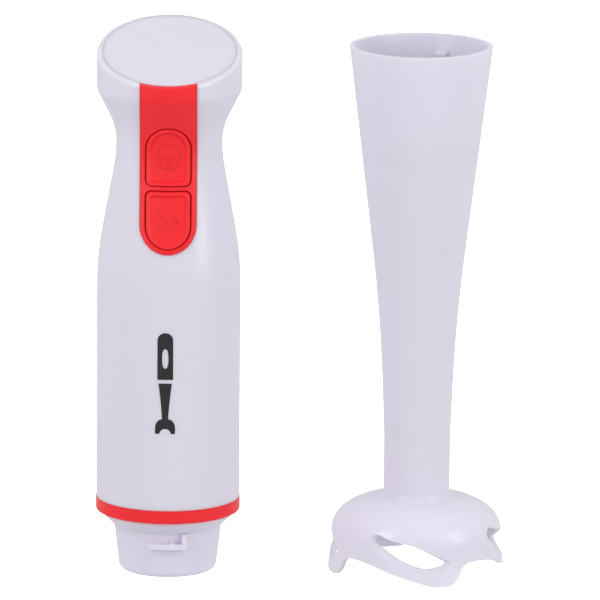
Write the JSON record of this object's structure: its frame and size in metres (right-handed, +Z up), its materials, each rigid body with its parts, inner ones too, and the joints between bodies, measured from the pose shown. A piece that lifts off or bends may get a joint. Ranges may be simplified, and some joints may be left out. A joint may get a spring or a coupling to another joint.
{
  "type": "immersion blender",
  "caption": "Hand blender in two halves: a motor handle with a waist, push buttons and a bayonet spigot, and a detached conical leg with a slotted bell over its blade.",
  "frame": {"origin": "on the table, under the middle of the box around the two halves standing side by side", "axes": "+Z up; the buttons face -Y; +X runs from the motor handle to the blending leg"},
  "size_m": [0.152, 0.0654, 0.2044],
  "materials": {
    "white_plastic": "moulded gloss white with a cool tint",
    "red_plastic": "moulded satin red",
    "gland_plastic": "moulded satin",
    "black_plastic": "moulded satin black",
    "grey_plastic": "moulded acetal",
    "coupler_plastic": "moulded glass-filled nylon",
    "capacitor_plastic": "moulded yellow",
    "circuit_board": "green solder resist",
    "ferrite": "sintered, ground",
    "zinc_steel": "zinc plated",
    "spring_steel": "drawn wire",
    "stainless_steel": "polished",
    "core_steel": "stacked laminations",
    "sintered_bronze": "oil-filled sintered bronze",
    "brass": "folded sheet",
    "copper_wire": "varnished winding wire",
    "copper_bars": "turned bars",
    "carbon": "pressed carbon",
    "soft_rubber": "moulded",
    "lead_insulation": "extruded sleeve"
  },
  "bodies": {
    "handle": {"handle_shell": "white_plastic", "top_cap": "white_plastic", "coupling_housing": "white_plastic", "cord_gland": "gland_plastic", "gland_clip": "spring_steel", "trim_ring": "red_plastic", "switch_panel": "red_plastic", "power_switch": "black_plastic", "turbo_switch": "black_plastic", "power_spring": "spring_steel", "turbo_spring": "spring_steel", "control_board": "circuit_board", "board_carrier": "black_plastic", "board_screws": "zinc_steel", "rectifier_diodes": "black_plastic", "noise_capacitor": "capacitor_plastic", "choke": "ferrite", "motor_can": "zinc_steel", "front_bush": "sintered_bronze", "rear_bush": "sintered_bronze", "magnets": "ferrite", "motor_endcap": "black_plastic", "brush_holders": "brass", "carbon_brushes": "carbon", "brush_springs": "spring_steel", "motor_seat": "soft_rubber", "motor_cradle": "soft_rubber", "motor_screws": "zinc_steel", "motor_leads": "lead_insulation"},
    "rotor": {"motor_shaft": "stainless_steel", "armature_core": "core_steel", "armature_windings": "copper_wire", "commutator": "copper_bars", "drive_coupler": "coupler_plastic"},
    "power_key": {"power_button": "red_plastic", "power_plunger": "grey_plastic"},
    "turbo_key": {"turbo_button": "red_plastic", "turbo_plunger": "grey_plastic"},
    "leg": {"leg_housing": "white_plastic", "bearing_carrier": "grey_plastic", "upper_bush": "sintered_bronze", "lower_bush": "sintered_bronze", "shaft_seal": "soft_rubber"},
    "cutter": {"blade_shaft": "stainless_steel", "shaft_coupler": "coupler_plastic", "thrust_washer": "grey_plastic", "retaining_clip": "spring_steel", "blade_hub": "grey_plastic", "blade": "stainless_steel", "blade_nut": "stainless_steel"}
  },
  "joints": [
    {"name": "rotor_spin", "type": "hinge", "parent": "handle", "child": "rotor", "pos_m": [-0.0492, -0.004, 0.05], "axis": [0, 0, 1], "continuous": true},
    {"name": "power_press", "type": "slide", "parent": "handle", "child": "power_key", "axis": [0, 1, 0], "range_m": [0, 0.0015], "stiffness_N_per_m": 900, "springref_m": -0.001, "deforming": ["power_spring"]},
    {"name": "turbo_press", "type": "slide", "parent": "handle", "child": "turbo_key", "axis": [0, 1, 0], "range_m": [0, 0.0015], "stiffness_N_per_m": 900, "springref_m": -0.001, "deforming": ["turbo_spring"]},
    {"name": "leg_lift", "type": "slide", "parent": "handle", "child": "leg", "axis": [0, 0, 1], "range_m": [0, 0.21]},
    {"name": "cutter_spin", "type": "hinge", "parent": "leg", "child": "cutter", "pos_m": [0.0433, 0, 0.05], "axis": [0, 0, 1], "continuous": true}
  ]
}
